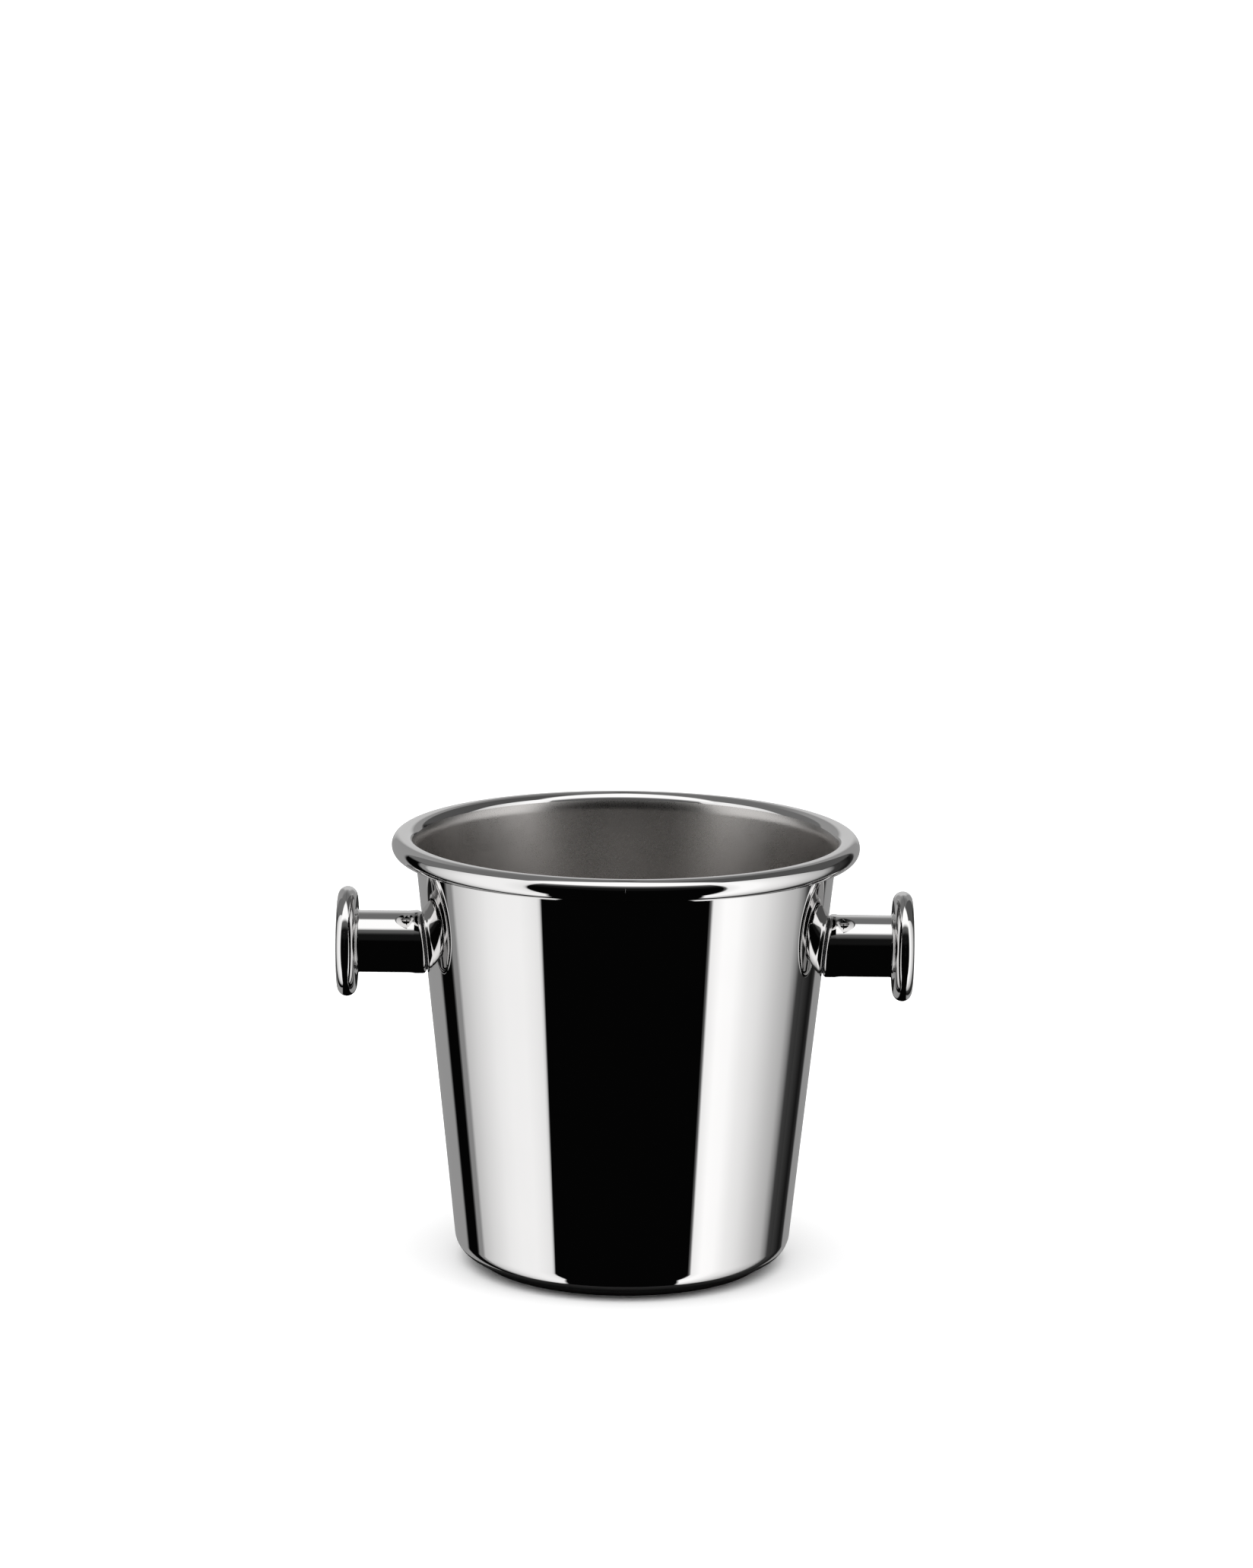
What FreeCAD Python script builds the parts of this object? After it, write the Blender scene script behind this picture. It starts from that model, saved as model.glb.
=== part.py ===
"""One-bottle champagne bucket: a spun steel vessel with a curled rim, a base ring and two knob handles.

Frame: origin at the centre of the face it stands on, +Z up, +X towards the right handle. Millimetres.
Each handle's pieces are drawn in a frame of their own: its origin is on the bucket's axis at the handle's
height, and its +X runs out along the handle.
"""
import FreeCAD, Part
import math
import os

import Sketcher
from FreeCAD import Placement, Rotation, Vector

# name, value, meaning. Lengths in millimetres, angles in degrees.
DIMENSIONS = [
    ("overall_height", "187.0", "floor to the top of the rim"),
    ("rim_radius", "100.0", "axis to the outside of the rim"),
    ("curl_radius", "4.9", "outside radius of the rim's curled tube"),
    ("curl_edge_angle", "32.0", "how far below the curl's centre its free edge stops"),
    ("shoulder_radius", "12.0", "inside bend where the wall turns into the curl"),
    ("shoulder_step", "0.75", "how far the wall's inside stands in from the curl"),
    ("wall_taper", "6.0", "angle of the wall from upright"),
    ("sheet_thickness", "1.0", "the vessel's sheet"),
    ("corner_radius", "9.0", "outside bend between the wall and the floor"),
    ("base_ring_height", "3.1", "underside of the vessel above the table"),
    ("base_ring_width", "7.4", "radial width of the base ring"),
    ("base_ring_inset", "0.2", "base ring inside the edge of the flat floor"),
    ("base_ring_round", "2.9", "rounding of the base ring's lower edges"),
    ("handle_drop", "48.4", "top of the rim down to the handle's axis"),
    ("barrel_length", "29.2", "wall to the end disc, along the handle's axis"),
    ("barrel_radius", "13.3", "outside radius of the barrel"),
    ("handle_sheet", "1.2", "the sheet of the barrel and the end disc"),
    ("flare_radius", "1.5", "trumpet bend between the barrel and the end disc"),
    ("lip_rise", "0.3", "how far the root's lip stands out from the barrel"),
    ("lip_length", "4.2", "lip, from the wall along the handle's axis"),
    ("lip_blend", "3.0", "length of the bend from the lip down to the barrel"),
    ("lip_round", "1.5", "rounding of the root's edge"),
    ("disc_land", "4.75", "flat ring between the flare and the disc's rounded edge"),
    ("disc_thickness", "8.1", "end disc, face to face, with a full round edge"),
    ("face_dish", "0.5", "depth of the hollow in the disc's outer face"),
    ("gasket_thickness", "0.5", "ring between the barrel and the wall"),
    ("gasket_width", "1.5", "radial width of the gasket"),
    ("gasket_inset", "0.1", "gasket inside the root's rounding"),
    ("spigot_length", "7.0", "root's spigot inside the barrel"),
    ("recess_depth", "2.0", "hollow in the root, so that only its rim bears on the gasket"),
    ("spigot_chamfer", "0.8", "bevel of the spigot and of the thread's mouths"),
    ("plate_radius", "9.0", "load-spreading plate inside the bucket"),
    ("plate_thickness", "2.0", "that plate, at its middle"),
    ("screw_radius", "3.0", "fixing screw, outside its thread"),
    ("screw_length", "16.0", "fixing screw under its head"),
    ("head_radius", "5.6", "fixing screw's head"),
    ("head_height", "3.0", "height of the domed head"),
    ("head_edge", "1.0", "upright edge of the domed head"),
    ("socket_flats", "4.0", "hexagon socket, across its flats"),
    ("socket_depth", "1.8", "depth of the hexagon socket"),
    ("tip_chamfer", "0.8", "bevel of the screw's tip"),
    ("washer_thickness", "1.4", "spring washer, squeezed flat"),
    ("washer_slit", "1.2", "width of the spring washer's split"),
    ("hole_clearance", "0.3", "screw in the wall and in the plate, on the radius"),
    ("washer_clearance", "0.15", "screw in the spring washer, on the radius"),
    ("washer_inset", "0.3", "spring washer inside the head's edge"),
    ("thread_clearance", "0.05", "screw in the plug, on the radius"),
    ("slip_clearance", "0.05", "pieces that slide together before welding"),
    ("face_clearance", "0.02", "curved faces that bear on each other"),
]

# Values worked out from the dimensions. The wall's inside, the shoulder and the curl run on smoothly:
# the shoulder's arc touches the wall's straight line at one end and the curl's circle at the other.
WORKED = [
    ("curl_x", "dims.rim_radius - dims.curl_radius"),
    ("curl_z", "dims.overall_height - dims.curl_radius"),
    ("curl_to_inside", "dims.curl_radius + dims.shoulder_step"),
    ("curl_to_outside", "curl_to_inside - dims.sheet_thickness"),
    ("neck_radius", "curl_x - curl_to_outside / cos(dims.wall_taper)"),
    ("shoulder_span", "dims.shoulder_radius - dims.curl_radius"),
    ("shoulder_out", "dims.shoulder_radius - curl_to_inside"),
    ("shoulder_drop", "sqrt(shoulder_span ^ 2 - shoulder_out ^ 2)"),
    ("join_x", "(shoulder_drop * sin(dims.wall_taper) - shoulder_out * cos(dims.wall_taper)) / shoulder_span"),
    ("join_z", "(shoulder_drop * cos(dims.wall_taper) + shoulder_out * sin(dims.wall_taper)) / shoulder_span"),
    ("corner_z", "dims.base_ring_height + dims.corner_radius"),
    ("corner_x", "neck_radius - (curl_z - corner_z) * tan(dims.wall_taper)"
                 " - dims.corner_radius / cos(dims.wall_taper)"),
    ("base_ring_radius", "corner_x - dims.base_ring_inset"),
    ("handle_z", "dims.overall_height - dims.handle_drop"),
    ("seat_radius", "neck_radius - (curl_z - handle_z) * tan(dims.wall_taper)"),
    ("seat_inside", "seat_radius - dims.sheet_thickness / cos(dims.wall_taper)"),
    ("screw_hole", "dims.screw_radius + dims.hole_clearance"),
    ("root_start", "seat_radius - dims.barrel_radius / 2"),
    ("lip_radius", "dims.barrel_radius + dims.lip_rise"),
    ("gasket_radius", "lip_radius - dims.lip_round - dims.gasket_inset"),
    ("gasket_bore", "gasket_radius - dims.gasket_width"),
    ("lip_end", "seat_radius + dims.lip_length"),
    ("barrel_start", "lip_end + dims.lip_blend"),
    ("barrel_bore", "dims.barrel_radius - dims.handle_sheet"),
    ("flare_edge", "dims.barrel_radius + dims.flare_radius"),
    ("disc_back_x", "seat_radius + dims.barrel_length"),
    ("disc_edge", "dims.disc_thickness / 2"),
    ("disc_middle_x", "disc_back_x + disc_edge"),
    ("disc_flat", "flare_edge + dims.disc_land"),
    ("disc_radius", "disc_flat + disc_edge"),
    ("plate_x", "seat_inside - dims.plate_thickness"),
    ("washer_x", "plate_x - dims.washer_thickness"),
]


def fill_sheet(document, name, rows, prefix=""):
    """A sheet with one named value to a row."""
    sheet = document.addObject("Spreadsheet::Sheet", name)
    for row, entry in enumerate(rows, start=1):
        sheet.set(f"A{row}", entry[0])
        sheet.set(f"B{row}", prefix + entry[1])
        sheet.setAlias(f"B{row}", entry[0])
        if len(entry) > 2:
            sheet.set(f"C{row}", entry[2])
    document.recompute()
    return sheet


def origin_plane(body, role):
    """The body's own origin plane with this role."""
    return next(feature for feature in body.Origin.OriginFeatures if feature.Role == role)


def new_sketch(body, name, role="XZ_Plane"):
    """An empty sketch on one of the body's origin planes."""
    sketch = body.newObject("Sketcher::SketchObject", name)
    sketch.AttachmentSupport = (origin_plane(body, role), [""])
    sketch.MapMode = "FlatFace"
    return sketch


def bind(sketch, kind, items, formula):
    """Adds a constraint whose value follows a formula."""
    value = float(sketch.evalExpression(formula))
    index = sketch.addConstraint(Sketcher.Constraint(kind, *items, value))
    sketch.setExpression(f"Constraints[{index}]", formula)


def place_point(sketch, edge, end, x, y):
    """Holds an edge's end at x, y, on an axis where the formula is a plain zero."""
    for kind, formula, axis in (("DistanceX", x, -2), ("DistanceY", y, -1)):
        if formula == "0":
            sketch.addConstraint(Sketcher.Constraint("PointOnObject", edge, end, axis))
        else:
            bind(sketch, kind, (-1, 1, edge, end), formula)


def arc_between(start, end, radius, centre_side):
    """The shorter arc from start to end, with its centre on the left or the right of the way along it."""
    chord = end - start
    left = Vector(-chord.y, chord.x, 0).normalize()
    side = 1 if centre_side == "left" else -1
    reach = math.sqrt(max(radius ** 2 - (chord.Length / 2) ** 2, 0.0))
    centre = start + chord / 2 + left * (side * reach)
    first, last = (start, end) if side > 0 else (end, start)
    angles = [math.atan2(point.y - centre.y, point.x - centre.x) for point in (first, last)]
    return Part.ArcOfCircle(Part.Circle(centre, Vector(0, 0, 1), radius), *angles)


def draw_outline(sketch, corners):
    """A closed outline through the corners, every one held by formulas.

    A corner is (x, y), or (x, y, radius, side) where the edge that leaves it is an arc whose centre lies on
    that side of the way along it.
    """
    points = [Vector(*(float(sketch.evalExpression(formula)) for formula in corner[:2])) for corner in corners]
    ends = []
    for corner, start, end in zip(corners, points, points[1:] + points[:1]):
        if len(corner) == 2:
            ends.append((sketch.addGeometry(Part.LineSegment(start, end)), 1, 2))
            continue
        radius = float(sketch.evalExpression(corner[2]))
        edge = sketch.addGeometry(arc_between(start, end, radius, corner[3]))
        ends.append((edge, 1, 2) if corner[3] == "left" else (edge, 2, 1))
    for corner, (edge, start, _), (last_edge, _, last_end) in zip(corners, ends, ends[-1:] + ends[:-1]):
        sketch.addConstraint(Sketcher.Constraint("Coincident", last_edge, last_end, edge, start))
        place_point(sketch, edge, start, corner[0], corner[1])
        if len(corner) > 2:
            bind(sketch, "Radius", (edge,), corner[2])


def turn(body, kind, name, corners, axis):
    """Turns an outline round a sketch axis, adding material (Revolution) or taking it away (Groove)."""
    sketch = new_sketch(body, name + "_outline")
    draw_outline(sketch, corners)
    feature = body.newObject("PartDesign::" + kind, name)
    feature.Profile = sketch
    feature.ReferenceAxis = (sketch, [axis])
    feature.Angle = 360.0
    sketch.Visibility = False
    body.Document.recompute()
    return feature


def wall_line(height, offset="0"):
    """In a handle's frame: the radius, at this height, of the cone this far outside the wall."""
    return f"worked.seat_radius + ({height}) * tan(dims.wall_taper) + ({offset}) / cos(dims.wall_taper)"


def cut_inside_cone(body, name, offset):
    """Takes away all that lies inside the cone this far outside the wall."""
    reach = "2 * dims.barrel_radius"
    corners = [
        ("0", f"-{reach}"),
        (wall_line(f"-{reach}", offset), f"-{reach}"),
        (wall_line(reach, offset), reach),
        ("0", reach),
    ]
    return turn(body, "Groove", name, corners, "V_Axis")


def cut_outside_cone(body, name, offset):
    """Takes away all that lies outside the cone this far outside the wall."""
    reach = "2 * dims.barrel_radius"
    beyond = "2 * dims.rim_radius"
    corners = [
        (wall_line(f"-{reach}", offset), f"-{reach}"),
        (beyond, f"-{reach}"),
        (beyond, reach),
        (wall_line(reach, offset), reach),
    ]
    return turn(body, "Groove", name, corners, "V_Axis")


def bucket_shell(body):
    """Floor, wall and curled rim in one sheet, drilled for the two fixing screws."""
    taper_cos = "cos(dims.wall_taper)"
    taper_sin = "sin(dims.wall_taper)"
    inner_curl = "(dims.curl_radius - dims.sheet_thickness)"
    inner_corner = "(dims.corner_radius - dims.sheet_thickness)"

    def wall_top(distance):
        """Where the straight wall ends, on the line this far inward from the curl's centre."""
        x = f"worked.curl_x - {distance} * {taper_cos} - worked.shoulder_drop * {taper_sin}"
        z = f"worked.curl_z + {distance} * {taper_sin} - worked.shoulder_drop * {taper_cos}"
        return x, z

    def join(radius):
        """Where the shoulder runs into the curl's circle."""
        return f"worked.curl_x + {radius} * worked.join_x", f"worked.curl_z + {radius} * worked.join_z"

    def free_edge(radius):
        """On the free edge of the curl."""
        x = f"worked.curl_x - {radius} * cos(dims.curl_edge_angle)"
        z = f"worked.curl_z - {radius} * sin(dims.curl_edge_angle)"
        return x, z

    def wall_foot(radius):
        """Where the corner's bend runs into the straight wall."""
        return f"worked.corner_x + {radius} * {taper_cos}", f"worked.corner_z - {radius} * {taper_sin}"

    corners = [
        ("0", "dims.base_ring_height"),
        ("worked.corner_x", "dims.base_ring_height", "dims.corner_radius", "left"),
        wall_foot("dims.corner_radius"),
        (*wall_top("worked.curl_to_outside"), "dims.shoulder_radius - dims.sheet_thickness", "right"),
        (*join(inner_curl), inner_curl, "right"),
        (f"worked.curl_x + {inner_curl}", "worked.curl_z", inner_curl, "right"),
        free_edge(inner_curl),
        (*free_edge("dims.curl_radius"), "dims.curl_radius", "left"),
        ("dims.rim_radius", "worked.curl_z", "dims.curl_radius", "left"),
        (*join("dims.curl_radius"), "dims.shoulder_radius", "left"),
        wall_top("worked.curl_to_inside"),
        (*wall_foot(inner_corner), inner_corner, "right"),
        ("worked.corner_x", "dims.base_ring_height + dims.sheet_thickness"),
        ("0", "dims.base_ring_height + dims.sheet_thickness"),
    ]
    turn(body, "Revolution", "spun_sheet", corners, "V_Axis")
    hole = new_sketch(body, "screw_hole_circle", "YZ_Plane")
    height = float(hole.evalExpression("worked.handle_z"))
    radius = float(hole.evalExpression("worked.screw_hole"))
    hole.addGeometry(Part.Circle(Vector(0, height, 0), Vector(0, 0, 1), radius))
    hole.addConstraint(Sketcher.Constraint("PointOnObject", 0, 3, -2))
    bind(hole, "DistanceY", (-1, 1, 0, 3), "worked.handle_z")
    bind(hole, "Radius", (0,), "worked.screw_hole")
    pocket = body.newObject("PartDesign::Pocket", "screw_holes")
    pocket.Profile = hole
    pocket.Midplane = True
    pocket.setExpression("Length", "2 * dims.rim_radius")
    hole.Visibility = False


def base_ring(body):
    """Flat ring welded under the floor; the bucket stands on it."""
    outer = "worked.base_ring_radius"
    inner = f"{outer} - dims.base_ring_width"
    corners = [
        (f"{inner} + dims.base_ring_round", "0"),
        (f"{outer} - dims.base_ring_round", "0", "dims.base_ring_round", "left"),
        (outer, "dims.base_ring_round"),
        (outer, "dims.base_ring_height"),
        (inner, "dims.base_ring_height"),
        (inner, "dims.base_ring_round", "dims.base_ring_round", "left"),
    ]
    turn(body, "Revolution", "ring", corners, "V_Axis")


def grip_barrel(body):
    """Tube from the root to the end disc, with a trumpet end that meets the disc."""
    flare_start = "worked.disc_back_x - dims.flare_radius"
    corners = [
        ("worked.barrel_start", "worked.barrel_bore"),
        (flare_start, "worked.barrel_bore", "dims.flare_radius + dims.handle_sheet", "left"),
        ("worked.disc_back_x + dims.handle_sheet", "worked.flare_edge"),
        ("worked.disc_back_x", "worked.flare_edge", "dims.flare_radius", "right"),
        (flare_start, "dims.barrel_radius"),
        ("worked.barrel_start", "dims.barrel_radius"),
    ]
    turn(body, "Revolution", "tube", corners, "H_Axis")


def disc_back(body):
    """Inner half of the end disc: a flat ring whose edge is rounded over to the disc's middle."""
    hole = "worked.flare_edge + dims.slip_clearance"
    inner_edge = "worked.disc_edge - dims.handle_sheet"
    corners = [
        ("worked.disc_back_x", hole),
        ("worked.disc_back_x + dims.handle_sheet", hole),
        ("worked.disc_back_x + dims.handle_sheet", "worked.disc_flat", inner_edge, "right"),
        ("worked.disc_middle_x", "worked.disc_radius - dims.handle_sheet"),
        ("worked.disc_middle_x", "worked.disc_radius", "worked.disc_edge", "left"),
        ("worked.disc_back_x", "worked.disc_flat"),
    ]
    turn(body, "Revolution", "ring", corners, "H_Axis")


def disc_face(body):
    """Outer half of the end disc: a cap with a very slightly hollow face."""
    inner_edge = "worked.disc_edge - dims.handle_sheet"
    outside_x = "worked.disc_middle_x + worked.disc_edge"
    inside_x = f"{outside_x} - dims.handle_sheet"
    dish = "(worked.disc_flat ^ 2 + dims.face_dish ^ 2) / (2 * dims.face_dish)"
    corners = [
        (f"{inside_x} - dims.face_dish", "0"),
        (f"{outside_x} - dims.face_dish", "0", dish, "left"),
        (outside_x, "worked.disc_flat", "worked.disc_edge", "left"),
        ("worked.disc_middle_x", "worked.disc_radius"),
        ("worked.disc_middle_x", "worked.disc_radius - dims.handle_sheet", inner_edge, "right"),
        (inside_x, "worked.disc_flat", dish, "right"),
    ]
    turn(body, "Revolution", "cap", corners, "H_Axis")


def root_boss(body):
    """Turned plug that closes the barrel's root: a rounded lip cut to sit on the wall, and a threaded spigot."""
    bore = "dims.screw_radius + dims.thread_clearance"
    spigot = "worked.barrel_bore - dims.slip_clearance"
    recess_x = "worked.seat_radius + dims.recess_depth"
    end = "worked.barrel_start + dims.spigot_length"
    lip_bend = "(dims.lip_blend ^ 2 + dims.lip_rise ^ 2) / (2 * dims.lip_rise)"
    corners = [
        ("worked.root_start", "worked.gasket_bore"),
        (recess_x, "worked.gasket_bore"),
        (recess_x, f"{bore} + dims.spigot_chamfer"),
        (f"{recess_x} + dims.spigot_chamfer", bore),
        (f"{end} - dims.spigot_chamfer", bore),
        (end, f"{bore} + dims.spigot_chamfer"),
        (end, f"{spigot} - dims.spigot_chamfer"),
        (f"{end} - dims.spigot_chamfer", spigot),
        ("worked.barrel_start", spigot),
        ("worked.barrel_start", "dims.barrel_radius", lip_bend, "right"),
        ("worked.lip_end", "worked.lip_radius"),
        ("worked.root_start", "worked.lip_radius"),
    ]
    turn(body, "Revolution", "blank", corners, "H_Axis")
    saddle = cut_inside_cone(body, "saddle_cut", "dims.gasket_thickness + dims.face_clearance")
    radius = float(body.evalExpression("worked.lip_radius"))
    edges = []
    for number, edge in enumerate(saddle.Shape.Edges, start=1):
        points = edge.discretize(9)
        on_lip = all(abs(math.hypot(point.y, point.z) - radius) < 0.001 for point in points)
        saddle_shaped = max(point.x for point in points) - min(point.x for point in points) > 0.1
        if on_lip and saddle_shaped:
            edges.append(f"Edge{number}")
    rounding = body.newObject("PartDesign::Fillet", "lip_rounding")
    rounding.Base = (saddle, edges)
    rounding.setExpression("Radius", "dims.lip_round")


def seat_gasket(body):
    """Thin ring, bent to the wall, that the root's rim bears on."""
    corners = [
        ("worked.root_start", "worked.gasket_bore"),
        ("worked.disc_back_x", "worked.gasket_bore"),
        ("worked.disc_back_x", "worked.gasket_radius"),
        ("worked.root_start", "worked.gasket_radius"),
    ]
    turn(body, "Revolution", "sleeve", corners, "H_Axis")
    cut_inside_cone(body, "wall_side", "dims.face_clearance")
    cut_outside_cone(body, "barrel_side", "dims.gasket_thickness")


def saddle_plate(body):
    """Round plate inside the bucket, flat towards the screw and bent to the wall on its other side."""
    corners = [
        ("worked.plate_x", "worked.screw_hole"),
        ("worked.disc_back_x", "worked.screw_hole"),
        ("worked.disc_back_x", "dims.plate_radius"),
        ("worked.plate_x", "dims.plate_radius"),
    ]
    turn(body, "Revolution", "blank", corners, "H_Axis")
    cut_outside_cone(body, "wall_side", "-(dims.sheet_thickness + dims.face_clearance)")


def spring_washer(body):
    """Split washer, squeezed flat under the head."""
    inner = "dims.screw_radius + dims.washer_clearance"
    outer = "dims.head_radius - dims.washer_inset"
    corners = [
        ("worked.washer_x", inner),
        ("worked.plate_x", inner),
        ("worked.plate_x", outer),
        ("worked.washer_x", outer),
    ]
    turn(body, "Revolution", "ring", corners, "H_Axis")
    slit = new_sketch(body, "slit_outline")
    draw_outline(slit, [
        ("worked.washer_x - dims.washer_thickness", "0"),
        ("worked.plate_x + dims.washer_thickness", "0"),
        ("worked.plate_x + dims.washer_thickness", "2 * dims.head_radius"),
        ("worked.washer_x - dims.washer_thickness", "2 * dims.head_radius"),
    ])
    pocket = body.newObject("PartDesign::Pocket", "slit")
    pocket.Profile = slit
    pocket.Midplane = True
    pocket.setExpression("Length", "dims.washer_slit")
    slit.Visibility = False


def fixing_screw(body):
    """Domed screw with a hexagon socket, put in from inside the bucket."""
    tip = "worked.washer_x + dims.screw_length"
    top = "worked.washer_x - dims.head_height"
    dome_rise = "(dims.head_height - dims.head_edge)"
    dome = f"(dims.head_radius ^ 2 + {dome_rise} ^ 2) / (2 * {dome_rise})"
    corners = [
        (tip, "0"),
        (tip, "dims.screw_radius - dims.tip_chamfer"),
        (f"{tip} - dims.tip_chamfer", "dims.screw_radius"),
        ("worked.washer_x", "dims.screw_radius"),
        ("worked.washer_x", "dims.head_radius"),
        ("worked.washer_x - dims.head_edge", "dims.head_radius", dome, "left"),
        (top, "0"),
    ]
    turn(body, "Revolution", "blank", corners, "H_Axis")
    socket = new_sketch(body, "socket_outline", "YZ_Plane")
    socket.setExpression("AttachmentOffset.Base.z", top)
    corner_radius = "dims.socket_flats / 2 / cos(30)"
    draw_outline(socket, [
        (f"{corner_radius} * cos({angle})", f"{corner_radius} * sin({angle})") for angle in range(30, 390, 60)
    ])
    pocket = body.newObject("PartDesign::Pocket", "socket")
    pocket.Profile = socket
    pocket.Reversed = True
    pocket.setExpression("Length", "dims.socket_depth")
    socket.Visibility = False


VESSEL_PIECES = [bucket_shell, base_ring]
HANDLE_PIECES = [
    grip_barrel,
    disc_back,
    disc_face,
    seat_gasket,
    root_boss,
    saddle_plate,
    spring_washer,
    fixing_screw,
]
HANDLE_TURNS = {"right": 0.0, "left": 180.0}


def add_piece(document, label, draw):
    """A body with this label, drawn by the function."""
    body = document.addObject("PartDesign::Body", label)
    body.Label = label
    draw(body)
    document.recompute()
    return body


def build(document):
    """Every piece of the bucket, each a body of its own."""
    fill_sheet(document, "dims", DIMENSIONS)
    fill_sheet(document, "worked", WORKED, prefix="=")
    pieces = [add_piece(document, draw.__name__, draw) for draw in VESSEL_PIECES]
    for side, angle in HANDLE_TURNS.items():
        for draw in HANDLE_PIECES:
            piece = add_piece(document, f"{draw.__name__}_{side}", draw)
            piece.Placement = Placement(Vector(), Rotation(Vector(0, 0, 1), angle))
            piece.setExpression("Placement.Base.z", "worked.handle_z")
            pieces.append(piece)
    document.recompute()
    return pieces


def check(document, pieces):
    """Stops on a failed feature, or on a piece that isn't one sound solid."""
    for item in document.Objects:
        if {"Invalid", "Error"} & set(item.State):
            raise RuntimeError(f"{item.Label} failed: {item.State}")
    for piece in pieces:
        shape = piece.Shape
        if shape.isNull() or not shape.isValid() or len(shape.Solids) != 1:
            raise RuntimeError(f"{piece.Label} is not one sound solid")


def main():
    document = FreeCAD.newDocument("champagne_bucket")
    pieces = build(document)
    check(document, pieces)
    os.makedirs("parts", exist_ok=True)
    for piece in pieces:
        piece.Shape.exportStep(f"parts/{piece.Label}.step")
        print(f"{piece.Label}: {piece.Shape.Volume:.1f} mm3")


main()
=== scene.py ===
"""Looks of a one-bottle champagne bucket: a mirror-polished steel vessel with a curled rim, a satin inside,
a base ring and two knob handles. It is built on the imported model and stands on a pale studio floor.

Frame: metres, origin at the centre of the foot, +Z up, +X towards the right handle.
"""

import math

import bmesh
import bpy
from bpy.props import FloatProperty, FloatVectorProperty, IntProperty, PointerProperty
from bpy.types import Operator, Panel, PropertyGroup
from mathutils import Matrix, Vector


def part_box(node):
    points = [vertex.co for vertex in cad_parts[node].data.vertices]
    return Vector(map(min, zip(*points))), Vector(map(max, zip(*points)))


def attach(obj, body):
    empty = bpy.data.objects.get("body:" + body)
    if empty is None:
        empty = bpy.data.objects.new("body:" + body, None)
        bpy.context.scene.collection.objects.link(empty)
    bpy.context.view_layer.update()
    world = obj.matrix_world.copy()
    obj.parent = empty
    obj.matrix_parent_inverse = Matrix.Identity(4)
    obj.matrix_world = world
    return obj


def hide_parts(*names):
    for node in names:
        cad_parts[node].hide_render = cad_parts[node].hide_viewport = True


bl_info = {
    "name": "Champagne Bucket",
    "version": (1, 0, 0),
    "blender": (4, 5, 0),
    "location": "View3D > Sidebar > Bucket",
    "description": "Builds the visible pieces, finishes and studio of a steel champagne bucket",
    "category": "Add Mesh",
}

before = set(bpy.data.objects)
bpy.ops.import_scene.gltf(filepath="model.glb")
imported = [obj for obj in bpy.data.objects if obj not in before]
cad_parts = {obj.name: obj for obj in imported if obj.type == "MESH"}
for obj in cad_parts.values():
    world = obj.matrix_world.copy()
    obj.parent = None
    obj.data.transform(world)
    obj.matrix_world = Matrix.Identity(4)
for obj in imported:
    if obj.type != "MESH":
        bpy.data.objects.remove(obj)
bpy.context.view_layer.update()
BODY = "root"
SIDES = {"right": 1.0, "left": -1.0}

MM = 0.001
BUFFER = 0.15 * MM  # short step beside each bend, so that the long faces keep their own shading
SHARP_ANGLE = math.radians(28.0)
SAME_POINT = 1e-7


def length(name, description, value):
    """A length in metres, with its default."""
    kind = {"unit": "LENGTH", "subtype": "DISTANCE", "precision": 5}
    return FloatProperty(name=name, description=description, default=value, **kind)


def angle(name, description, degrees):
    """An angle, with its default in degrees."""
    kind = {"unit": "ROTATION", "subtype": "ANGLE"}
    return FloatProperty(name=name, description=description, default=math.radians(degrees), **kind)


def factor(name, description, value):
    """A share from 0 to 1."""
    kind = {"min": 0.0, "max": 1.0, "subtype": "FACTOR"}
    return FloatProperty(name=name, description=description, default=value, **kind)


def amount(name, description, value):
    """A plain number."""
    return FloatProperty(name=name, description=description, default=value, min=0.0)


def colour(name, description, value):
    """A linear colour."""
    kind = {"size": 3, "min": 0.0, "max": 1.0, "subtype": "COLOR"}
    return FloatVectorProperty(name=name, description=description, default=value, **kind)


def count(name, description, value):
    """A whole number of steps."""
    return IntProperty(name=name, description=description, default=value, min=8)


shell_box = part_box("bucket_shell")
ring_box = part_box("base_ring")
back_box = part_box("disc_back_right")
barrel_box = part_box("grip_barrel_right")


class BucketVesselSizes(PropertyGroup):
    """Sizes of the vessel and its base ring."""

    height: length("Height", "Floor to the top of the rim", shell_box[1].z)
    rim_radius: length("Rim radius", "Axis to the outside of the rim", 100.0 * MM)
    curl_radius: length("Curl radius", "Outside radius of the rim's curled tube", 4.9 * MM)
    curl_edge_angle: angle("Curl edge", "How far below the curl's centre its free edge stops", 32.0)
    shoulder_radius: length("Shoulder radius", "Inside bend where the wall turns into the curl", 12.0 * MM)
    shoulder_step: length("Shoulder step", "How far the wall's inside stands in from the curl", 0.75 * MM)
    wall_taper: angle("Wall taper", "Angle of the wall from upright", 6.0)
    sheet: length("Sheet", "Thickness of the vessel's sheet", 1.0 * MM)
    corner_radius: length("Corner radius", "Outside bend between wall and floor", 9.0 * MM)
    satin_edge: angle("Satin edge", "Tilt of the shoulder's face where the satin inside starts", 27.0)
    ring_width: length("Base ring width", "Radial width of the base ring", 7.4 * MM)
    ring_round: length("Base ring rounding", "Rounding of the base ring's lower edges", 2.9 * MM)
    screw_hole: length("Screw holes", "Radius of the fixing screws' holes in the wall", 3.3 * MM)
    steps: count("Steps round", "Faces round the vessel", 256)


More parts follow.
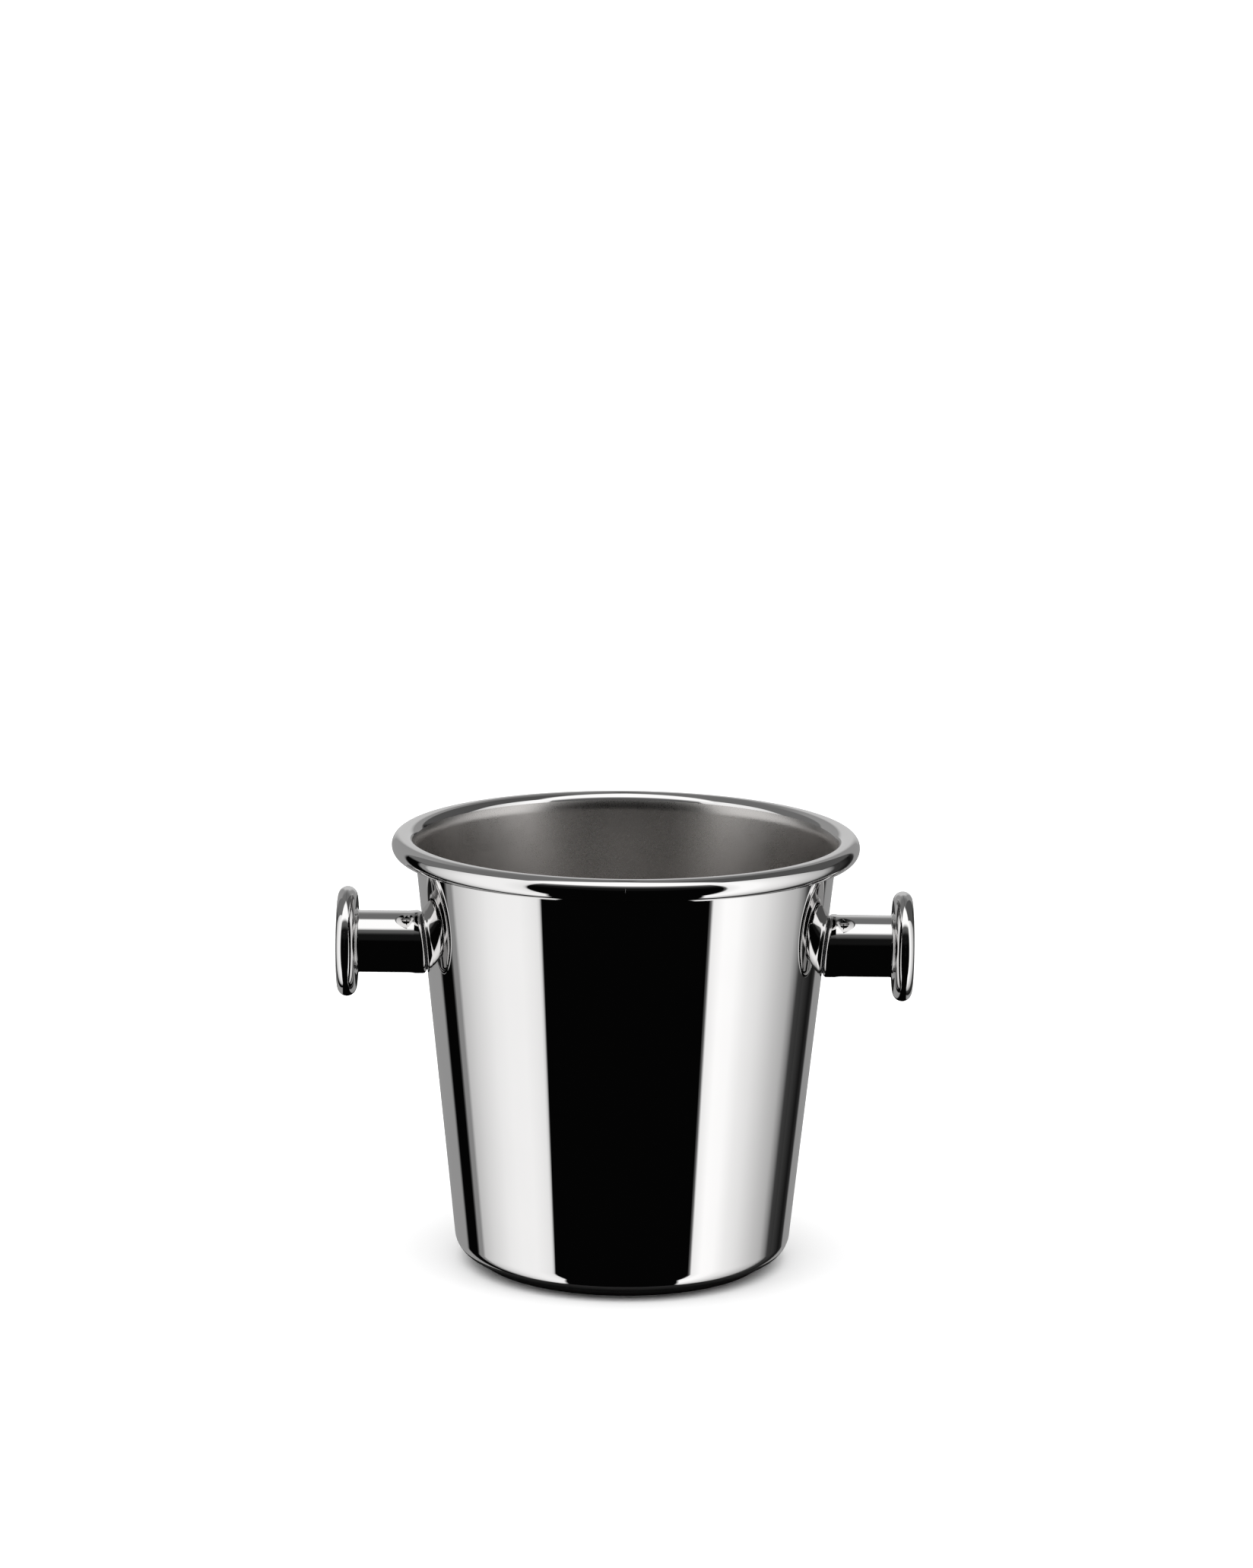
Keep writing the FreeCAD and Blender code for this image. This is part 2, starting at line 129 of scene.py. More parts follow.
class BucketHandleSizes(PropertyGroup):
    """Sizes of the two knob handles."""

    barrel_radius: length("Barrel radius", "Outside radius of the barrel", 13.3 * MM)
    sheet: length("Handle sheet", "Thickness of the barrel's and the disc's sheet", 1.2 * MM)
    flare_radius: length("Flare radius", "Trumpet bend between barrel and disc", 1.5 * MM)
    slip: length("Disc slip", "Gap between the flare's edge and the disc's hole", 0.05 * MM)
    disc_land: length("Disc land", "Flat ring between the flare and the disc's rounded edge", 4.75 * MM)
    disc_thickness: length("Disc thickness", "End disc, face to face, with a full round edge", 8.1 * MM)
    face_dish: length("Face dish", "Depth of the hollow in the disc's outer face", 0.5 * MM)
    steps: count("Steps round", "Faces round a handle", 160)


class BucketFinish(PropertyGroup):
    """Colours and finishes."""

    steel: colour("Polished steel", "Colour of the mirror-polished steel", (0.83, 0.823, 0.82))
    satin: colour("Satin steel", "Colour of the satin steel inside", (0.64, 0.62, 0.605))
    fixing: colour("Fixing steel", "Colour of plates, washers and screws", (0.58, 0.57, 0.55))
    gasket: colour("Gasket", "Colour of the rings between root and wall", (0.03, 0.03, 0.032))
    polish: factor("Polish roughness", "Mean roughness of the polished steel", 0.010)
    satin_roughness: factor("Satin roughness", "Mean roughness of the satin steel", 0.30)


class BucketStage(PropertyGroup):
    """Floor, light and camera."""

    floor_size: length("Floor size", "Side of the square floor", 160.0)
    # reach of the dark sheet of painted shade round the foot, which the steel mirrors in place of the floor's
    # contact shadow
    painted_foot_shade: length("Foot shade", "How far the shaded floor reaches out from the foot", 8.0 * MM)
    floor_colour: colour("Floor", "Colour of the floor", (0.93, 0.93, 0.93))
    wash: amount("Wash", "Strength of the overhead wash on the floor", 3.7)
    aim_height: length("Aim height", "Height on the bucket's axis that the camera stands off from", 0.095)
    distance: length("Distance", "Camera to that point", 2.0)
    elevation: angle("Elevation", "Camera above the horizontal, seen from that point", 14.03)
    pitch: angle("Pitch", "How far down the camera looks", 10.84)
    roll: angle("Roll", "Turn of the camera about its own axis", 0.57)
    lens: FloatProperty(name="Lens", description="Focal length in millimetres", default=106.38, min=1.0)


def arc(centre, radius, start, end, steps):
    """Points on a circle's arc, its angles in radians."""
    turn = (end - start) / steps
    return [
        (centre[0] + radius * math.cos(start + turn * i), centre[1] + radius * math.sin(start + turn * i))
        for i in range(steps + 1)
    ]


def run(start, end, steps=1):
    """Points on a straight run, with a short step at each end."""
    span = math.dist(start, end)
    ends = min(BUFFER / span, 0.25)
    shares = [0.0, ends, *[i / steps for i in range(1, steps)], 1.0 - ends, 1.0]
    return [tuple(a + (b - a) * share for a, b in zip(start, end)) for share in shares]


def outline(*stretches):
    """One list of points from several stretches, with no point twice in a row."""
    points = []
    for stretch in stretches:
        for point in stretch:
            if not points or math.dist(points[-1], point) > SAME_POINT:
                points.append(point)
    if math.dist(points[0], points[-1]) < SAME_POINT:
        points.pop()
    return points


def finished_object(name, mesh, materials):
    """A smooth-shaded object with its hard edges marked."""
    mesh.shade_smooth()
    mesh.set_sharp_from_angle(angle=SHARP_ANGLE)
    for material in materials:
        mesh.materials.append(material)
    piece = bpy.data.objects.new(name, mesh)
    bpy.context.scene.collection.objects.link(piece)
    return piece


def lathe(name, points, steps, placed, materials, finish_of=None):
    """A closed piece turned from an outline of (radius, along) points.

    placed maps (radius, along, angle) to the frame, and finish_of gives each stretch its material's number.
    """
    build = bmesh.new()
    rings = []
    for radius, along in points:
        if radius < SAME_POINT:
            rings.append([build.verts.new(placed(0.0, along, 0.0))])
        else:
            rings.append([build.verts.new(placed(radius, along, math.tau * i / steps)) for i in range(steps)])
    closed = len(rings[0]) > 1
    for index in range(len(rings) if closed else len(rings) - 1):
        near, far = rings[index], rings[(index + 1) % len(rings)]
        for i in range(steps):
            j = (i + 1) % steps
            corners = [near[i % len(near)], near[j % len(near)], far[j % len(far)], far[i % len(far)]]
            face = build.faces.new(list(dict.fromkeys(corners)))
            face.material_index = finish_of(index) if finish_of else 0
    bmesh.ops.recalc_face_normals(build, faces=build.faces)
    mesh = bpy.data.meshes.new(name)
    build.to_mesh(mesh)
    build.free()
    return finished_object(name, mesh, materials)


def upright(radius, along, turn):
    """Turned about the bucket's axis."""
    return radius * math.cos(turn), radius * math.sin(turn), along


def handle_height():
    """Height of the handles' axis."""
    low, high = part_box("disc_face_right")
    return (low.z + high.z) / 2


def sideways(sign):
    """Turned about the handle's axis on that side."""
    height = handle_height()

    def placed(radius, along, turn):
        return sign * along, sign * radius * math.cos(turn), height + radius * math.sin(turn)

    return placed


def drilled(piece, radius, reach, steps):
    """Cuts a round hole along the handles' axis through both sides of the piece."""
    ends = [(0.0, -reach), (radius, -reach), (radius, reach), (0.0, reach)]
    drill = lathe("drill", ends, steps, sideways(1.0), [])
    cut = piece.modifiers.new("holes", "BOOLEAN")
    cut.object = drill
    cut.operation = "DIFFERENCE"
    cut.solver = "EXACT"
    mesh = bpy.data.meshes.new_from_object(piece.evaluated_get(bpy.context.evaluated_depsgraph_get()))
    mesh.set_sharp_from_angle(angle=SHARP_ANGLE)
    piece.modifiers.clear()
    piece.data = mesh
    bpy.data.objects.remove(drill)


def settle(piece, node):
    """Rides the piece on the bucket, in place of a CAD node, which it hides."""
    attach(piece, BODY)
    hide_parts(node)
    return piece


# ---- finishes -------------------------------------------------------------------------------------------


NOISE_LOW, NOISE_HIGH = 0.3, 0.7  # the range that most of a noise's values lie in
MIX_FIRST, MIX_SECOND, MIX_COLOUR = 6, 7, 2  # a mix node's colour sockets, whose names aren't unique


class Shader:
    """A material's node tree, with short ways to add and join nodes. Noise scales are per metre."""

    def __init__(self, name):
        self.material = bpy.data.materials.new(name)
        self.material.use_nodes = True
        self.tree = self.material.node_tree
        self.surface = self.tree.nodes["Principled BSDF"]
        self.place = self.add("ShaderNodeTexCoord").outputs["Object"]

    def add(self, kind, **settings):
        node = self.tree.nodes.new(kind)
        for key, value in settings.items():
            setattr(node, key, value)
        return node

    def join(self, source, target):
        self.tree.links.new(source, target)

    def set(self, **values):
        for key, value in values.items():
            self.surface.inputs[key.replace("_", " ")].default_value = value

    def turned(self, round_scale, radial_scale, along_scale, axis):
        """Coordinates that run round an axis, out from it and along it, for lines left by turning."""
        split = self.add("ShaderNodeSeparateXYZ")
        self.join(self.place, split.inputs["Vector"])
        x, y, z = (split.outputs[name] for name in "XYZ")
        if axis == "Z":
            first, second, along = x, y, z
        else:
            first, second, along = y, self.math("SUBTRACT", z, handle_height()), x
        round_angle = self.math("ARCTAN2", second, first)
        squares = [self.math("MULTIPLY", value, value) for value in (first, second)]
        out = self.math("SQRT", self.math("ADD", *squares))
        joined = self.add("ShaderNodeCombineXYZ")
        self.join(self.math("MULTIPLY", round_angle, round_scale), joined.inputs["X"])
        self.join(self.math("MULTIPLY", out, radial_scale), joined.inputs["Y"])
        self.join(self.math("MULTIPLY", along, along_scale), joined.inputs["Z"])
        return joined.outputs["Vector"]

    def math(self, operation, first, second=None):
        node = self.add("ShaderNodeMath", operation=operation)
        for value, socket in zip((first, second), node.inputs):
            if isinstance(value, (int, float)):
                socket.default_value = value
            elif value is not None:
                self.join(value, socket)
        return node.outputs["Value"]

    def noise(self, vector, scale, detail=2.0, roughness=0.5):
        node = self.add("ShaderNodeTexNoise")
        self.join(vector, node.inputs["Vector"])
        node.inputs["Scale"].default_value = scale
        node.inputs["Detail"].default_value = detail
        node.inputs["Roughness"].default_value = roughness
        return node.outputs["Fac"]

    def spread(self, noise, low, high):
        """A noise's middle range, spread from low to high."""
        node = self.add("ShaderNodeMapRange")
        self.join(noise, node.inputs["Value"])
        ends = {"From Min": NOISE_LOW, "From Max": NOISE_HIGH, "To Min": low, "To Max": high}
        for name, value in ends.items():
            node.inputs[name].default_value = value
        return node.outputs["Result"]

    def vary_colour(self, share, first, second):
        """Gives the surface a colour that goes from the first to the second with the share."""
        node = self.add("ShaderNodeMix", data_type="RGBA")
        self.join(share, node.inputs["Factor"])
        node.inputs[MIX_FIRST].default_value = (*first, 1.0)
        node.inputs[MIX_SECOND].default_value = (*second, 1.0)
        self.join(node.outputs[MIX_COLOUR], self.surface.inputs["Base Color"])

    def vary_roughness(self, *parts):
        """Gives the surface a roughness that is the sum of the parts, each (noise, low, high)."""
        total = self.spread(*parts[0])
        for part in parts[1:]:
            total = self.math("ADD", total, self.spread(*part))
        self.join(total, self.surface.inputs["Roughness"])

    def bump(self, *layers):
        """Bumps on top of each other, each a height source, a strength and a depth in metres."""
        normal = None
        for height, strength, depth in layers:
            node = self.add("ShaderNodeBump")
            node.inputs["Strength"].default_value = strength
            node.inputs["Distance"].default_value = depth
            self.join(height, node.inputs["Height"])
            if normal is not None:
                self.join(normal, node.inputs["Normal"])
            normal = node.outputs["Normal"]
        self.join(normal, self.surface.inputs["Normal"])


def shade(base, share):
    """A colour times a share."""
    return tuple(channel * share for channel in base)


def polished_steel(name, axis):
    """Mirror polish: faint buffing lines round the axis, and a roughness that drifts a little."""
    if name in bpy.data.materials:
        return bpy.data.materials[name]
    finish = bpy.context.scene.bucket_finish
    shader = Shader(name)
    shader.set(Metallic=1.0)
    drift = shader.noise(shader.place, scale=38.0, detail=3.0)
    ripple = shader.noise(shader.place, scale=500.0, detail=2.0)
    buffed = shader.turned(6.0, 2600.0, 2600.0, axis)
    lines = shader.noise(buffed, scale=1.0, detail=2.0, roughness=0.6)
    shader.vary_colour(shader.spread(drift, 0.0, 1.0), shade(finish.steel, 0.985), finish.steel)
    mean = finish.polish
    shader.vary_roughness((drift, 0.6 * mean, 1.2 * mean), (lines, 0.0, 0.35 * mean))
    shader.bump((lines, 0.008, 0.002 * MM), (ripple, 0.01, 0.002 * MM))
    return shader.material


def satin_steel(name):
    """Satin inside: fine blasted grain over faint turning lines, with soft patches."""
    if name in bpy.data.materials:
        return bpy.data.materials[name]
    finish = bpy.context.scene.bucket_finish
    shader = Shader(name)
    shader.set(Metallic=1.0)
    patches = shader.noise(shader.place, scale=30.0, detail=4.0, roughness=0.6)
    grain = shader.noise(shader.place, scale=2600.0, detail=3.0, roughness=0.65)
    turned = shader.turned(14.0, 900.0, 900.0, "Z")
    lines = shader.noise(turned, scale=1.0, detail=3.0, roughness=0.7)
    share = shader.math("ADD", shader.spread(patches, 0.0, 0.5), shader.spread(grain, 0.0, 0.5))
    shader.vary_colour(share, shade(finish.satin, 0.84), shade(finish.satin, 1.04))
    mean = finish.satin_roughness
    shader.vary_roughness((patches, mean - 0.03, mean + 0.03), (grain, -0.04, 0.04))
    shader.bump((lines, 0.10, 0.03 * MM), (grain, 0.35, 0.05 * MM))
    return shader.material


def fixing_steel(name, roughness, lines_scale):
    """Machined steel of the fixings: turning lines round the handle's axis and small dull patches."""
    if name in bpy.data.materials:
        return bpy.data.materials[name]
    finish = bpy.context.scene.bucket_finish
    shader = Shader(name)
    shader.set(Metallic=1.0)
    patches = shader.noise(shader.place, scale=240.0, detail=4.0, roughness=0.6)
    turned = shader.turned(3.0, lines_scale, lines_scale, "X")
    lines = shader.noise(turned, scale=1.0, detail=2.0, roughness=0.7)
    shader.vary_colour(shader.spread(patches, 0.0, 1.0), shade(finish.fixing, 0.88), finish.fixing)
    shader.vary_roughness((patches, roughness - 0.05, roughness + 0.05), (lines, -0.05, 0.05))
    shader.bump((lines, 0.3, 0.03 * MM), (patches, 0.1, 0.03 * MM))
    return shader.material


def gasket_rubber(name):
    """Dark rubber with a fine moulded grain."""
    if name in bpy.data.materials:
        return bpy.data.materials[name]
    finish = bpy.context.scene.bucket_finish
    shader = Shader(name)
    grain = shader.noise(shader.place, scale=4200.0, detail=3.0, roughness=0.6)
    bloom = shader.noise(shader.place, scale=420.0, detail=3.0, roughness=0.6)
    shader.vary_colour(shader.spread(bloom, 0.0, 1.0), finish.gasket, shade(finish.gasket, 1.6))
    shader.vary_roughness((grain, 0.5, 0.7))
    shader.bump((grain, 0.4, 0.03 * MM))
    return shader.material


# ---- pieces ---------------------------------------------------------------------------------------------


def vessel_outline(sizes):
    """The sheet's closed section as (radius, height) points, and the point where the satin starts."""
    taper = sizes.wall_taper
    cos, sin = math.cos(taper), math.sin(taper)
    curl = sizes.rim_radius - sizes.curl_radius, sizes.height - sizes.curl_radius
    to_inside = sizes.curl_radius + sizes.shoulder_step
    to_outside = to_inside - sizes.sheet
    span = sizes.shoulder_radius - sizes.curl_radius
    out = sizes.shoulder_radius - to_inside
    drop = math.sqrt(span**2 - out**2)
    shoulder = curl[0] + out * cos - drop * sin, curl[1] - out * sin - drop * cos
    join = math.atan2(curl[1] - shoulder[1], curl[0] - shoulder[0])
    floor = ring_box[1].z
    corner_z = floor + sizes.corner_radius
    neck = curl[0] - to_outside / cos
    corner = neck - (curl[1] - corner_z) * math.tan(taper) - sizes.corner_radius / cos, corner_z
    inner_corner = sizes.corner_radius - sizes.sheet
    inner_curl = sizes.curl_radius - sizes.sheet
    edge = -math.pi + sizes.curl_edge_angle

    def wall_top(distance):
        return curl[0] - distance * cos - drop * sin, curl[1] + distance * sin - drop * cos

    def wall_foot(radius):
        return corner[0] + radius * cos, corner[1] - radius * sin

    wall_face = math.pi - taper
    satin = math.pi - sizes.satin_edge
    polished = outline(
        run((0.0, floor), (corner[0], floor), 6),
        arc(corner, sizes.corner_radius, -math.pi / 2, -taper, 28),
        run(wall_foot(sizes.corner_radius), wall_top(to_outside), 24),
        arc(shoulder, sizes.shoulder_radius - sizes.sheet, wall_face, join, 10),
        arc(curl, inner_curl, join, edge, 60),
        arc(curl, sizes.curl_radius, edge, join, 90),
        arc(shoulder, sizes.shoulder_radius, join, satin, 6),
    )
    whole = outline(
        polished,
        arc(shoulder, sizes.shoulder_radius, satin, wall_face, 6),
        run(wall_top(to_inside), wall_foot(inner_corner), 24),
        arc(corner, inner_corner, -taper, -math.pi / 2, 24),
        run((corner[0], floor + sizes.sheet), (0.0, floor + sizes.sheet), 6),
    )
    return whole, len(polished) - 1


class BUCKET_OT_vessel(Operator):
    """Build the spun vessel: floor, wall and curled rim, polished outside and satin inside"""

    bl_idname = "bucket.vessel"
    bl_label = "Vessel"

    def execute(self, context):
        sizes = context.scene.bucket_vessel
        points, satin_start = vessel_outline(sizes)
        materials = [polished_steel("mirror_vessel", "Z"), satin_steel("satin_inside")]

        def finish_of(index):
            return int(index >= satin_start)

        vessel = lathe("vessel", points, sizes.steps, upright, materials, finish_of)
        drilled(vessel, sizes.screw_hole, sizes.rim_radius, steps=48)
        settle(vessel, "bucket_shell")
        return {"FINISHED"}


class BUCKET_OT_base_ring(Operator):
    """Build the rounded ring under the floor"""

    bl_idname = "bucket.base_ring"
    bl_label = "Base ring"

    def execute(self, context):
        sizes = context.scene.bucket_vessel
        outer, top, round_ = ring_box[1].x, ring_box[1].z, sizes.ring_round
        inner = outer - sizes.ring_width
        points = outline(
            arc((inner + round_, round_), round_, math.pi, 1.5 * math.pi, 24),
            run((inner + round_, 0.0), (outer - round_, 0.0)),
            arc((outer - round_, round_), round_, 1.5 * math.pi, math.tau, 24),
            run((outer, round_), (outer, top)),
            run((outer, top), (inner, top)),
            run((inner, top), (inner, round_)),
        )
        ring = lathe("foot_ring", points, sizes.steps, upright, [polished_steel("mirror_vessel", "Z")])
        settle(ring, "base_ring")
        return {"FINISHED"}


class BUCKET_OT_barrels(Operator):
    """Build the two grip barrels with their trumpet ends"""

    bl_idname = "bucket.barrels"
    bl_label = "Grip barrels"

    def execute(self, context):
        sizes = context.scene.bucket_handle
        start, back = barrel_box[0].x, back_box[0].x
        outer, bore = sizes.barrel_radius, sizes.barrel_radius - sizes.sheet
        flare, wide = sizes.flare_radius, sizes.flare_radius + sizes.sheet
        bend = outer + flare, back - flare
        points = outline(
            run((outer, start), (outer, back - flare), 8),
            arc(bend, flare, math.pi, math.pi / 2, 16),
            run((outer + flare, back), (outer + flare, back + sizes.sheet)),
            arc(bend, wide, math.pi / 2, math.pi, 16),
            run((bore, back - flare), (bore, start), 8),
            run((bore, start), (outer, start)),
        )
        materials = [polished_steel("mirror_handle", "X")]
        for side, sign in SIDES.items():
            barrel = lathe(f"barrel_{side}", points, sizes.steps, sideways(sign), materials)
            settle(barrel, f"grip_barrel_{side}")
        return {"FINISHED"}


class BUCKET_OT_discs(Operator):
    """Build the two end discs, each from a back ring and a face cap"""

    bl_idname = "bucket.discs"
    bl_label = "End discs"

    def execute(self, context):
        sizes = context.scene.bucket_handle
        back, sheet, edge = back_box[0].x, sizes.sheet, sizes.disc_thickness / 2
        hole = sizes.barrel_radius + sizes.flare_radius + sizes.slip
        flat = sizes.barrel_radius + sizes.flare_radius + sizes.disc_land
        middle, dish = back + edge, sizes.face_dish
        top, inside = middle + edge, middle + edge - sheet
        half = math.pi / 2
        back_points = outline(
            run((hole, back), (flat, back), 2),
            arc((flat, middle), edge, -half, 0.0, 30),
            run((flat + edge, middle), (flat + edge - sheet, middle)),
            arc((flat, middle), edge - sheet, 0.0, -half, 24),
            run((flat, back + sheet), (hole, back + sheet), 2),
            run((hole, back + sheet), (hole, back)),
        )
        dish_radius = (flat**2 + dish**2) / (2 * dish)
        spread = math.asin(flat / dish_radius)
        face_points = outline(
            arc((0.0, top - dish + dish_radius), dish_radius, -half, -half + spread, 12),
            arc((flat, middle), edge, half, 0.0, 30),
            run((flat + edge, middle), (flat + edge - sheet, middle)),
            arc((flat, middle), edge - sheet, 0.0, half, 24),
            arc((0.0, inside - dish + dish_radius), dish_radius, -half + spread, -half, 12),
        )
        materials = [polished_steel("mirror_handle", "X")]
        for side, sign in SIDES.items():
            for part, points in (("back", back_points), ("face", face_points)):
                disc = lathe(f"disc_{part}_shown_{side}", points, sizes.steps, sideways(sign), materials)
                settle(disc, f"disc_{part}_{side}")
        return {"FINISHED"}


class BUCKET_OT_fixings(Operator):
    """Give the turned roots, gaskets, plates, washers and screws their finishes"""

    bl_idname = "bucket.fixings"
    bl_label = "Fixings"

    def execute(self, context):
        finishes = {
            "root_boss": polished_steel("mirror_handle", "X"),
            "seat_gasket": gasket_rubber("gasket_black"),
            "saddle_plate": fixing_steel("turned_plate", roughness=0.32, lines_scale=2200.0),
            "spring_washer": fixing_steel("turned_washer", roughness=0.4, lines_scale=1500.0),
            "fixing_screw": fixing_steel("turned_screw", roughness=0.22, lines_scale=3000.0),
        }
        for side in SIDES:
            for part, material in finishes.items():
                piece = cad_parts[f"{part}_{side}"]
                for slot in piece.material_slots:
                    slot.material = material
        return {"FINISHED"}


# ---- stage ----------------------------------------------------------------------------------------------

# Light cards round the bucket, as (azimuth from the camera's side in degrees, brightness): dark in front,
# a tall white card on each side, a narrow dark gap and dim grey behind.
SIDE_CARDS = [
    (-180, 0.24),
    (-137, 0.26),
    (-134, 0.0),
    (-120, 0.0),
    (-118.5, 0.26),
    (-113.5, 0.28),
    (-111.5, 0.60),
    (-100, 0.78),
    (-84, 0.98),
    (-74, 1.04),
    (-62, 1.05),
    (-54, 0.98),
    (-49.5, 0.91),
    (-48, 0.0),
    (49, 0.0),
    (50.5, 1.00),
    (58, 1.19),
    (67, 1.16),
    (76, 1.00),
    (85, 0.90),
    (95, 0.74),
    (102, 0.63),
    (112, 0.50),
    (119, 0.22),
    (122, 0.05),
    (140, 0.005),
    (146, 0.02),
    (149, 0.24),
    (180, 0.25),
]


class Light:
    """The studio light's node tree: brightness worked out from the direction x, y, z."""

    def __init__(self, tree):
        self.tree = tree
        split = self.add("ShaderNodeSeparateXYZ")
        tree.links.new(self.add("ShaderNodeTexCoord").outputs["Generated"], split.inputs["Vector"])
        self.x, self.y, self.z = split.outputs["X"], split.outputs["Y"], split.outputs["Z"]

    def add(self, kind, **settings):
        node = self.tree.nodes.new(kind)
        for key, value in settings.items():
            setattr(node, key, value)
        return node

    def calc(self, operation, first, second=0.0):
        node = self.add("ShaderNodeMath", operation=operation)
        for value, socket in zip((first, second), node.inputs):
            if isinstance(value, (int, float)):
                socket.default_value = value
            else:
                self.tree.links.new(value, socket)
        return node.outputs["Value"]

    def product(self, first, *others):
        for other in others:
            first = self.calc("MULTIPLY", first, other)
        return first

    def total(self, first, *others):
        for other in others:
            first = self.calc("ADD", first, other)
        return first

    def brightest(self, first, *others):
        for other in others:
            first = self.calc("MAXIMUM", first, other)
        return first

    def fade(self, source, start, end, low, high):
        """Goes smoothly from low at the start to high at the end, and stays there."""
        node = self.add("ShaderNodeMapRange", interpolation_type="SMOOTHSTEP")
        self.tree.links.new(source, node.inputs["Value"])
        ends = {"From Min": start, "From Max": end, "To Min": low, "To Max": high}
        for name, value in ends.items():
            node.inputs[name].default_value = value
        return node.outputs["Result"]

    def round_curve(self, stops):
        """A brightness that follows the azimuth, through the stops."""
        turn = self.calc("DIVIDE", self.calc("ARCTAN2", self.x, self.product(self.y, -1.0)), math.tau)
        node = self.add("ShaderNodeFloatCurve")
        curve = node.mapping.curves[0]
        while len(curve.points) < len(stops):
            curve.points.new(0.5, 0.5)
        for point, (azimuth, value) in zip(curve.points, stops):
            point.location = azimuth / 360.0 + 0.5, value / CURVE_TOP
            point.handle_type = "VECTOR"
        node.mapping.update()
        self.tree.links.new(self.total(turn, 0.5), node.inputs["Value"])
        return self.product(node.outputs["Value"], CURVE_TOP)


CURVE_TOP = 2.0  # the brightest value that the azimuth curve can hold
DARK_ROOM = 0.0015  # brightness where there is no card
FLOOR_ROUGHNESS = 0.9
# near-black colour of the sheet of painted shade round the foot, seen only in reflections
PAINTED_SHADE_TINT = (0.03, 0.03, 0.03)
PAINTED_SHADE_LIFT = 0.1 * MM  # height of the dark sheet of painted shade above the floor itself
WASH_ANGLE = math.radians(110.0)
WASH_HEIGHT = 3.0
SENSOR_WIDTH = 36.0
CLIP_END = 500.0


def studio_brightness(light):
    """Side cards, a dim rear wall with a glow, an overhead softbox, and dark in front and below.

    x, y and z are the direction's parts, so each number here is a direction's share or a brightness.
    """
    x, y, z = light.x, light.y, light.z
    beside = light.calc("ABSOLUTE", x)
    ahead = light.calc("MAXIMUM", light.product(y, -1.0), 0.0)
    cards = light.round_curve(SIDE_CARDS)
    # the cards' slanting top edge, which the rear wall doesn't have
    slant = light.total(light.product(beside, 0.75), light.product(y, -1.5))
    top = light.calc("MAXIMUM", light.product(beside, 0.15), slant)
    under_top = light.fade(light.calc("SUBTRACT", z, top), 0.0, 0.08, 1.0, 0.0)
    rear = light.fade(light.calc("SUBTRACT", y, light.product(beside, 0.75)), -0.02, 0.04, 0.0, 1.0)
    rear_high = light.fade(z, 0.55, 0.8, 1.25, 0.7)
    cards = light.product(cards, light.brightest(under_top, light.product(rear, rear_high)))
    # dark strip of floor that the bucket stands on, wider in front
    down = light.calc("MINIMUM", z, 0.0)
    strip = light.total(beside, light.product(ahead, -0.5), light.product(down, 0.345))
    cards = light.product(cards, light.fade(strip, -0.01, 0.03, 0.0, 1.0))
    # dim fill above and behind the cards, more of it on the left
    fill_level = light.fade(x, -0.2, 0.2, 0.17, 0.09)
    fill = light.product(
        fill_level,
        light.fade(z, 0.12, 0.25, 0.0, 1.0),
        light.fade(y, -0.5, -0.2, 0.0, 1.0),
    )
    # glow in the middle of the rear wall
    behind = light.calc("MAXIMUM", y, 0.001)
    glow = light.product(
        light.fade(light.calc("DIVIDE", beside, behind), 0.15, 0.50, 0.60, 0.0),
        light.fade(z, -0.25, 0.0, 0.0, 1.0),
        light.fade(z, 0.45, 0.7, 1.0, 0.0),
    )
    # overhead softbox, measured on a plane one metre up
    up = light.calc("MAXIMUM", z, 0.05)
    along = light.calc("DIVIDE", y, up)
    across = light.calc("DIVIDE", beside, up)
    box = light.product(
        light.fade(along, -0.78, -0.50, 0.10, 1.0),
        light.fade(along, -1.4, -0.80, 0.05, 1.0),
        light.fade(light.total(along, light.product(across, 0.8)), 0.16, 0.34, 1.0, 0.0),
        light.fade(z, 0.2, 0.35, 0.0, 1.2),
    )
    return light.calc("ADD", light.brightest(cards, fill, glow, box), DARK_ROOM)


def world_light(scene):
    """The studio light all round; the camera itself sees plain white."""
    world = bpy.data.worlds.new("studio")
    world.use_nodes = True
    scene.world = world
    tree = world.node_tree
    tree.nodes.clear()
    light = Light(tree)
    studio = light.add("ShaderNodeBackground")
    tree.links.new(studio_brightness(light), studio.inputs["Strength"])
    plain = light.add("ShaderNodeBackground")
    for node in (studio, plain):
        node.inputs["Color"].default_value = (1.0, 1.0, 1.0, 1.0)
    mix = light.add("ShaderNodeMixShader")
    tree.links.new(light.add("ShaderNodeLightPath").outputs["Is Camera Ray"], mix.inputs[0])
    tree.links.new(studio.outputs[0], mix.inputs[1])
    tree.links.new(plain.outputs[0], mix.inputs[2])
    tree.links.new(mix.outputs[0], light.add("ShaderNodeOutputWorld").inputs["Surface"])


def paper(name, tint):
    """Matt paper for the floor, and for the dark sheet of painted shade round the foot."""
    shader = Shader(name)
    shader.surface.inputs["Base Color"].default_value = (*tint, 1.0)
    shader.set(Roughness=FLOOR_ROUGHNESS)
    shader.surface.inputs["Specular IOR Level"].default_value = 0.0
    return shader.material


def level_sheet(name, corners, radius, height, material):
    """A level sheet with its corners on a circle, as part of the stage."""
    turns = [math.tau * (i + 0.5) / corners for i in range(corners)]
    mesh = bpy.data.meshes.new(name)
    points = [(radius * math.cos(turn), radius * math.sin(turn), height) for turn in turns]
    mesh.from_pydata(points, [], [tuple(range(corners))])
    mesh.materials.append(material)
    sheet = bpy.data.objects.new(name, mesh)
    bpy.context.scene.collection.objects.link(sheet)
    return sheet


